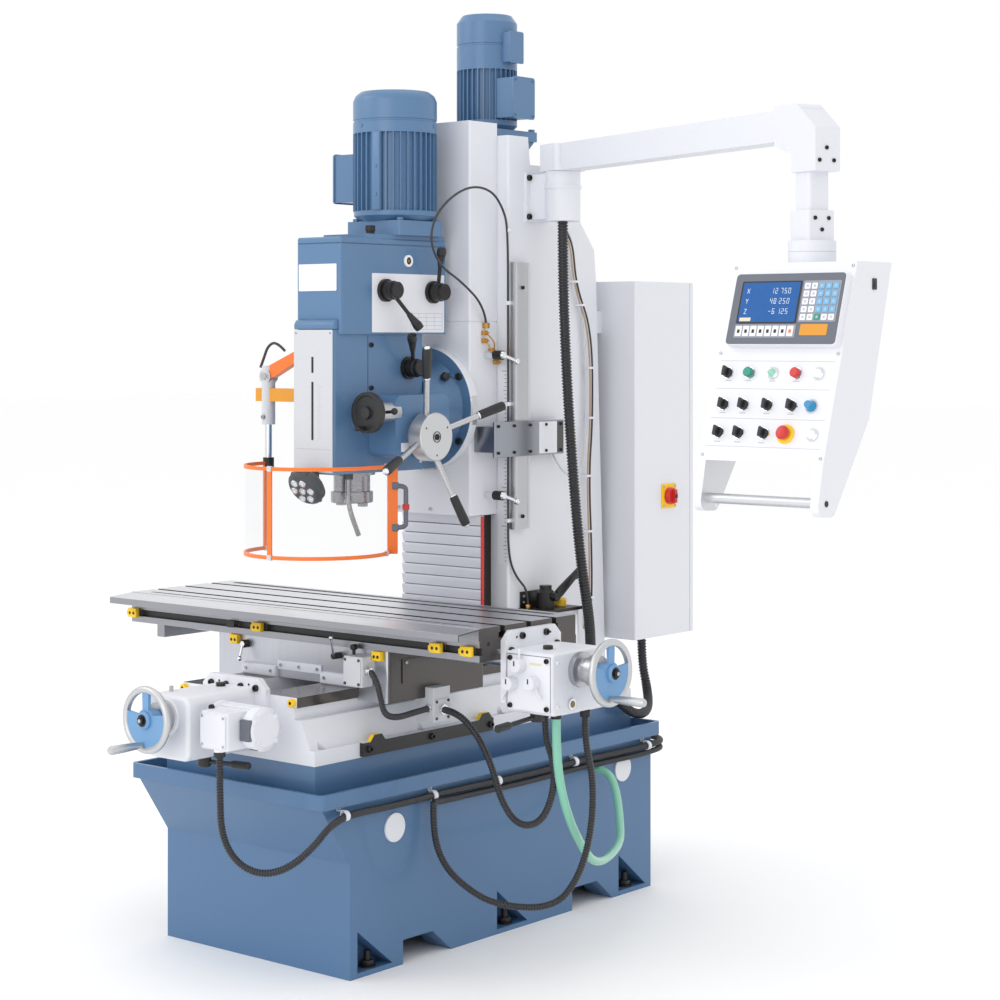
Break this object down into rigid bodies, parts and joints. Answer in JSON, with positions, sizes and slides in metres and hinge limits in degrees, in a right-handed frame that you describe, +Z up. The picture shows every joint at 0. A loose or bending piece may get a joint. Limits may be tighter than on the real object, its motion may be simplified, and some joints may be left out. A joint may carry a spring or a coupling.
{
  "type": "bed milling machine",
  "caption": "Bed mill with a swivelling vertical head on a column, T-slot table on a cross saddle, hand and power feeds, chip guard and a control pendant on a swing arm",
  "frame": {"origin": "on the floor at the middle of the base and of its anchor holes", "axes": "X along the table to the operator's right, Y from the operator to the column, Z up"},
  "size_m": [2.0213, 1.8596, 2.325],
  "materials": {
    "blue_paint": "textured blue enamel on castings",
    "white_paint": "white textured enamel on castings and sheet",
    "grey_paint": "light grey enamel",
    "ground_iron": "ground cast iron",
    "bright_steel": "turned and ground steel",
    "chrome": "polished plating",
    "black_plastic": "black plastic",
    "grey_plastic": "grey plastic",
    "pendant_paint": "white and grey enamel on sheet",
    "red_plastic": "red plastic",
    "green_plastic": "green plastic",
    "blue_plastic": "blue plastic",
    "orange_paint": "orange enamel",
    "clear_sheet": "clear polycarbonate in an orange frame",
    "bellows_rubber": "folded black cover",
    "black_conduit": "ribbed black conduit"
  },
  "bodies": {
    "frame": {"base": "blue_paint", "bed": "white_paint", "column": "white_paint", "y_gearbox": "white_paint", "y_motor": "white_paint", "z_motor": "blue_paint", "cabinet": "white_paint", "lube_pump": "grey_plastic", "frame_cords": "black_conduit"},
    "y_feed_lever": {"y_feed_lever": "black_plastic"},
    "x_feed_lever": {"x_feed_lever": "black_plastic"},
    "y_handwheel": {"y_handwheel": "chrome"},
    "y_screw": {"y_screw": "bright_steel"},
    "cabinet_door": {"cabinet_door": "white_paint"},
    "main_switch": {"main_switch": "red_plastic"},
    "lube_lever": {"lube_lever": "black_plastic"},
    "saddle": {"saddle": "grey_paint", "limit_switches": "grey_plastic", "saddle_cords": "black_conduit"},
    "saddle_lock": {"saddle_lock": "chrome"},
    "table": {"table": "ground_iron", "x_gearbox": "white_paint", "table_cords": "black_conduit"},
    "x_handwheel": {"x_handwheel": "chrome"},
    "x_screw": {"x_screw": "bright_steel"},
    "feed_dial_1": {"feed_dial_1": "bright_steel"},
    "feed_dial_2": {"feed_dial_2": "bright_steel"},
    "feed_dial_3": {"feed_dial_3": "bright_steel"},
    "head_slide": {"head_slide": "white_paint", "reader_bracket": "bright_steel", "bellows": "bellows_rubber", "head_cords": "black_conduit"},
    "clamp_upper": {"clamp_upper": "chrome"},
    "clamp_lower": {"clamp_lower": "chrome"},
    "head": {"head": "blue_paint", "main_motor": "blue_paint", "guard_arm": "orange_paint", "work_lamp": "black_plastic"},
    "gear_lever_left": {"gear_lever_left": "chrome"},
    "gear_lever_right": {"gear_lever_right": "chrome"},
    "range_lever": {"range_lever": "chrome"},
    "fine_wheel": {"fine_wheel": "black_plastic"},
    "capstan": {"capstan": "bright_steel"},
    "quill": {"quill": "bright_steel"},
    "spindle": {"spindle": "chrome"},
    "guard": {"guard": "clear_sheet"},
    "arm": {"arm": "white_paint"},
    "pendant": {"pendant": "pendant_paint"},
    "estop": {"estop": "red_plastic"},
    "start_button": {"start_button": "green_plastic"},
    "stop_button": {"stop_button": "red_plastic"},
    "speed_pot": {"speed_pot": "blue_plastic"},
    "selector_1": {"selector_1": "black_plastic"},
    "selector_2": {"selector_2": "black_plastic"},
    "selector_3": {"selector_3": "black_plastic"},
    "selector_4": {"selector_4": "black_plastic"},
    "selector_5": {"selector_5": "black_plastic"},
    "selector_6": {"selector_6": "black_plastic"},
    "selector_7": {"selector_7": "black_plastic"},
    "selector_8": {"selector_8": "black_plastic"}
  },
  "joints": [
    {"name": "saddle_y", "type": "slide", "parent": "frame", "child": "saddle", "axis": [0, 1, 0], "range_m": [-0.16, 0.15], "deforming": ["saddle_cords"]},
    {"name": "table_x", "type": "slide", "parent": "saddle", "child": "table", "axis": [1, 0, 0], "range_m": [-0.25, 0.27], "deforming": ["table_cords"]},
    {"name": "head_z", "type": "slide", "parent": "frame", "child": "head_slide", "axis": [0, 0, 1], "range_m": [-0.06, 0.44], "deforming": ["bellows", "head_cords"]},
    {"name": "head_swivel", "type": "hinge", "parent": "head_slide", "child": "head", "pos_m": [0, 0.04, 1.289], "axis": [0, 1, 0], "range_deg": [-45, 45]},
    {"name": "quill_feed", "type": "slide", "parent": "head", "child": "quill", "axis": [0, 0, -1], "range_m": [0, 0.13]},
    {"name": "spindle_turn", "type": "hinge", "parent": "quill", "child": "spindle", "pos_m": [0, -0.253, 1.1], "axis": [0, 0, 1], "continuous": true},
    {"name": "capstan_turn", "type": "hinge", "parent": "head", "child": "capstan", "pos_m": [0.19, -0.173, 1.227], "axis": [1, 0, 0], "range_deg": [-1, 312]},
    {"name": "fine_feed", "type": "hinge", "parent": "head", "child": "fine_wheel", "pos_m": [0.135, -0.336, 1.289], "axis": [0, 1, 0], "continuous": true},
    {"name": "gear_lever_left_turn", "type": "hinge", "parent": "head", "child": "gear_lever_left", "pos_m": [0.09, -0.215, 1.588], "axis": [1, 0, 0], "range_deg": [-25, 25]},
    {"name": "gear_lever_right_turn", "type": "hinge", "parent": "head", "child": "gear_lever_right", "pos_m": [0.09, -0.038, 1.586], "axis": [1, 0, 0], "range_deg": [-25, 25]},
    {"name": "range_lever_turn", "type": "hinge", "parent": "head", "child": "range_lever", "pos_m": [0.09, -0.12, 1.395], "axis": [1, 0, 0], "range_deg": [-25, 25]},
    {"name": "guard_swing", "type": "hinge", "parent": "head", "child": "guard", "pos_m": [-0.20686, -0.3389, 1.05], "axis": [0, 0, -1], "range_deg": [0, 110]},
    {"name": "clamp_lower_turn", "type": "hinge", "parent": "head_slide", "child": "clamp_lower", "pos_m": [0.15, 0.1067, 1.067], "axis": [1, 0, 0], "range_deg": [-30, 30]},
    {"name": "clamp_upper_turn", "type": "hinge", "parent": "head_slide", "child": "clamp_upper", "pos_m": [0.15, 0.1067, 1.426], "axis": [1, 0, 0], "range_deg": [-30, 30]},
    {"name": "saddle_lock_turn", "type": "hinge", "parent": "saddle", "child": "saddle_lock", "pos_m": [-0.183, -0.44, 0.7143], "axis": [0, 1, 0], "range_deg": [-40, 40]},
    {"name": "x_handwheel_turn", "type": "hinge", "parent": "table", "child": "x_handwheel", "pos_m": [0.8, -0.265, 0.7156], "axis": [1, 0, 0], "continuous": true},
    {"name": "x_screw_turn", "type": "hinge", "parent": "table", "child": "x_screw", "pos_m": [0, -0.265, 0.7156], "axis": [1, 0, 0], "continuous": true},
    {"name": "y_handwheel_turn", "type": "hinge", "parent": "frame", "child": "y_handwheel", "pos_m": [0, -0.92, 0.608], "axis": [0, 1, 0], "continuous": true},
    {"name": "y_screw_turn", "type": "hinge", "parent": "frame", "child": "y_screw", "pos_m": [0, -0.3, 0.608], "axis": [0, 1, 0], "continuous": true},
    {"name": "feed_dial_1_turn", "type": "hinge", "parent": "table", "child": "feed_dial_1", "pos_m": [0.634, -0.37, 0.7286], "axis": [0, 1, 0], "range_deg": [-60, 60]},
    {"name": "feed_dial_2_turn", "type": "hinge", "parent": "table", "child": "feed_dial_2", "pos_m": [0.61, -0.37, 0.6856], "axis": [0, 1, 0], "range_deg": [-60, 60]},
    {"name": "feed_dial_3_turn", "type": "hinge", "parent": "table", "child": "feed_dial_3", "pos_m": [0.674, -0.37, 0.6916], "axis": [0, 1, 0], "range_deg": [-60, 60]},
    {"name": "y_feed_lever_turn", "type": "hinge", "parent": "frame", "child": "y_feed_lever", "pos_m": [0.036, -0.782, 0.5], "axis": [0, 0, 1], "range_deg": [-15, 15]},
    {"name": "x_feed_lever_turn", "type": "hinge", "parent": "table", "child": "x_feed_lever", "pos_m": [0.64, -0.315, 0.605], "axis": [0, 0, 1], "range_deg": [-15, 15]},
    {"name": "cabinet_door_swing", "type": "hinge", "parent": "frame", "child": "cabinet_door", "pos_m": [-0.272, 0.8418, 1.1], "axis": [0, 0, 1], "range_deg": [0, 110]},
    {"name": "main_switch_turn", "type": "hinge", "parent": "frame", "child": "main_switch", "pos_m": [0.27, 0.728, 1.037], "axis": [1, 0, 0], "range_deg": [0, 90]},
    {"name": "lube_lever_turn", "type": "hinge", "parent": "frame", "child": "lube_lever", "pos_m": [0.247, 0.25, 0.8], "axis": [1, 0, 0], "range_deg": [-35, 20]},
    {"name": "arm_swing", "type": "hinge", "parent": "frame", "child": "arm", "pos_m": [0.262, 0.262, 1.9], "axis": [0, 0, 1], "range_deg": [-40, 30]},
    {"name": "pendant_turn", "type": "hinge", "parent": "arm", "child": "pendant", "pos_m": [1.26082, -0.13548, 1.65], "axis": [0, 0, 1], "range_deg": [-60, 60]},
    {"name": "estop_press", "type": "slide", "parent": "pendant", "child": "estop", "axis": [0, 0.9511, -0.309], "range_m": [0, 0.005], "stiffness_N_per_m": 2500},
    {"name": "start_button_press", "type": "slide", "parent": "pendant", "child": "start_button", "axis": [0, 0.9511, -0.309], "range_m": [0, 0.004], "stiffness_N_per_m": 1500},
    {"name": "stop_button_press", "type": "slide", "parent": "pendant", "child": "stop_button", "axis": [0, 0.9511, -0.309], "range_m": [0, 0.004], "stiffness_N_per_m": 1500},
    {"name": "speed_pot_turn", "type": "hinge", "parent": "pendant", "child": "speed_pot", "pos_m": [1.36482, -0.30536, 1.32766], "axis": [0, -0.9511, 0.309], "range_deg": [-135, 135]},
    {"name": "selector_1_turn", "type": "hinge", "parent": "pendant", "child": "selector_1", "pos_m": [1.14182, -0.28342, 1.39519], "axis": [0, -0.9511, 0.309], "range_deg": [-45, 45]},
    {"name": "selector_2_turn", "type": "hinge", "parent": "pendant", "child": "selector_2", "pos_m": [1.14582, -0.30536, 1.32766], "axis": [0, -0.9511, 0.309], "range_deg": [-45, 45]},
    {"name": "selector_3_turn", "type": "hinge", "parent": "pendant", "child": "selector_3", "pos_m": [1.19682, -0.30536, 1.32766], "axis": [0, -0.9511, 0.309], "range_deg": [-45, 45]},
    {"name": "selector_4_turn", "type": "hinge", "parent": "pendant", "child": "selector_4", "pos_m": [1.25682, -0.30536, 1.32766], "axis": [0, -0.9511, 0.309], "range_deg": [-45, 45]},
    {"name": "selector_5_turn", "type": "hinge", "parent": "pendant", "child": "selector_5", "pos_m": [1.31682, -0.30536, 1.32766], "axis": [0, -0.9511, 0.309], "range_deg": [-45, 45]},
    {"name": "selector_6_turn", "type": "hinge", "parent": "pendant", "child": "selector_6", "pos_m": [1.14582, -0.32452, 1.2687], "axis": [0, -0.9511, 0.309], "range_deg": [-45, 45]},
    {"name": "selector_7_turn", "type": "hinge", "parent": "pendant", "child": "selector_7", "pos_m": [1.19682, -0.32452, 1.2687], "axis": [0, -0.9511, 0.309], "range_deg": [-45, 45]},
    {"name": "selector_8_turn", "type": "hinge", "parent": "pendant", "child": "selector_8", "pos_m": [1.25982, -0.32452, 1.2687], "axis": [0, -0.9511, 0.309], "range_deg": [-45, 45]}
  ],
  "couplings": [
    {"joint": "capstan_turn", "follows": "quill_feed", "rad_per_m": 41.667},
    {"joint": "x_screw_turn", "follows": "table_x", "rad_per_m": 1047.2},
    {"joint": "y_screw_turn", "follows": "saddle_y", "rad_per_m": 1047.2}
  ]
}
